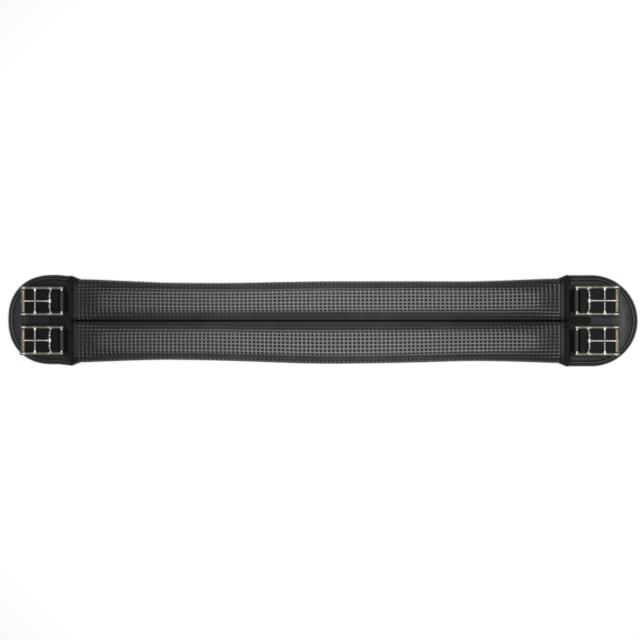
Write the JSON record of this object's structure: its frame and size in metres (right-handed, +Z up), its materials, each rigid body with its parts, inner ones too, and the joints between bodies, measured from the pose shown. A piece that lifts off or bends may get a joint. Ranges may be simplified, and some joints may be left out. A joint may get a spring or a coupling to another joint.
{
  "type": "saddle girth",
  "caption": "Padded saddle girth: waffle-pattern neoprene channels, rounded end pads, and roller buckles hinged on short elastic straps.",
  "frame": {"origin": "middle of the girth's length and width, on the surface that its horse side lies on", "axes": "+X along the girth towards its right end, +Y towards the front channel, +Z up, away from the horse"},
  "size_m": [0.75, 0.1084, 0.0178],
  "materials": {
    "neoprene": "matte",
    "foam": "matte",
    "leather": "satin",
    "elastic": "matte",
    "webbing": "matte",
    "steel": "polished"
  },
  "bodies": {
    "girth": {"waffle_cover": "neoprene", "front_horse_side_foam": "foam", "front_outer_foam": "foam", "front_core_webbing": "webbing", "rear_horse_side_foam": "foam", "rear_outer_foam": "foam", "rear_core_webbing": "webbing", "left_end_cap": "leather", "left_pad_lining": "neoprene", "left_pad_foam": "foam", "left_pad_face": "leather", "left_pad_binding": "leather", "right_end_cap": "leather", "right_pad_lining": "neoprene", "right_pad_foam": "foam", "right_pad_face": "leather", "right_pad_binding": "leather"},
    "left_front_strap": {"left_front_elastic_strap": "elastic"},
    "left_front_frame": {"left_front_buckle_frame": "steel"},
    "left_front_tongue": {"left_front_buckle_tongue": "steel"},
    "left_front_roller": {"left_front_buckle_roller": "steel"},
    "left_rear_strap": {"left_rear_elastic_strap": "elastic"},
    "left_rear_frame": {"left_rear_buckle_frame": "steel"},
    "left_rear_tongue": {"left_rear_buckle_tongue": "steel"},
    "left_rear_roller": {"left_rear_buckle_roller": "steel"},
    "right_front_strap": {"right_front_elastic_strap": "elastic"},
    "right_front_frame": {"right_front_buckle_frame": "steel"},
    "right_front_tongue": {"right_front_buckle_tongue": "steel"},
    "right_front_roller": {"right_front_buckle_roller": "steel"},
    "right_rear_strap": {"right_rear_elastic_strap": "elastic"},
    "right_rear_frame": {"right_rear_buckle_frame": "steel"},
    "right_rear_tongue": {"right_rear_buckle_tongue": "steel"},
    "right_rear_roller": {"right_rear_buckle_roller": "steel"}
  },
  "joints": [
    {"name": "left_front_strap_stretch", "type": "slide", "parent": "girth", "child": "left_front_strap", "axis": [-1, 0, 0], "range_m": [0, 0.02], "stiffness_N_per_m": 4000},
    {"name": "left_front_buckle_swing", "type": "hinge", "parent": "left_front_strap", "child": "left_front_frame", "pos_m": [-0.3082, 0.02351, 0.0113], "axis": [0, 1, 0], "range_deg": [0, 80]},
    {"name": "left_front_tongue_lift", "type": "hinge", "parent": "left_front_frame", "child": "left_front_tongue", "pos_m": [-0.3227, 0.02351, 0.0113], "axis": [0, 1, 0], "range_deg": [0, 100]},
    {"name": "left_front_roller_spin", "type": "hinge", "parent": "left_front_frame", "child": "left_front_roller", "pos_m": [-0.3547, 0.02351, 0.0113], "axis": [0, 1, 0], "continuous": true},
    {"name": "left_rear_strap_stretch", "type": "slide", "parent": "girth", "child": "left_rear_strap", "axis": [-1, 0, 0], "range_m": [0, 0.02], "stiffness_N_per_m": 4000},
    {"name": "left_rear_buckle_swing", "type": "hinge", "parent": "left_rear_strap", "child": "left_rear_frame", "pos_m": [-0.3082, -0.02351, 0.0113], "axis": [0, 1, 0], "range_deg": [0, 80]},
    {"name": "left_rear_tongue_lift", "type": "hinge", "parent": "left_rear_frame", "child": "left_rear_tongue", "pos_m": [-0.3227, -0.02351, 0.0113], "axis": [0, 1, 0], "range_deg": [0, 100]},
    {"name": "left_rear_roller_spin", "type": "hinge", "parent": "left_rear_frame", "child": "left_rear_roller", "pos_m": [-0.3547, -0.02351, 0.0113], "axis": [0, 1, 0], "continuous": true},
    {"name": "right_front_strap_stretch", "type": "slide", "parent": "girth", "child": "right_front_strap", "axis": [1, 0, 0], "range_m": [0, 0.02], "stiffness_N_per_m": 4000},
    {"name": "right_front_buckle_swing", "type": "hinge", "parent": "right_front_strap", "child": "right_front_frame", "pos_m": [0.3032, 0.02351, 0.0113], "axis": [0, -1, 0], "range_deg": [0, 80]},
    {"name": "right_front_tongue_lift", "type": "hinge", "parent": "right_front_frame", "child": "right_front_tongue", "pos_m": [0.3177, 0.02351, 0.0113], "axis": [0, -1, 0], "range_deg": [0, 100]},
    {"name": "right_front_roller_spin", "type": "hinge", "parent": "right_front_frame", "child": "right_front_roller", "pos_m": [0.3497, 0.02351, 0.0113], "axis": [0, -1, 0], "continuous": true},
    {"name": "right_rear_strap_stretch", "type": "slide", "parent": "girth", "child": "right_rear_strap", "axis": [1, 0, 0], "range_m": [0, 0.02], "stiffness_N_per_m": 4000},
    {"name": "right_rear_buckle_swing", "type": "hinge", "parent": "right_rear_strap", "child": "right_rear_frame", "pos_m": [0.3032, -0.02351, 0.0113], "axis": [0, -1, 0], "range_deg": [0, 80]},
    {"name": "right_rear_tongue_lift", "type": "hinge", "parent": "right_rear_frame", "child": "right_rear_tongue", "pos_m": [0.3177, -0.02351, 0.0113], "axis": [0, -1, 0], "range_deg": [0, 100]},
    {"name": "right_rear_roller_spin", "type": "hinge", "parent": "right_rear_frame", "child": "right_rear_roller", "pos_m": [0.3497, -0.02351, 0.0113], "axis": [0, -1, 0], "continuous": true}
  ]
}
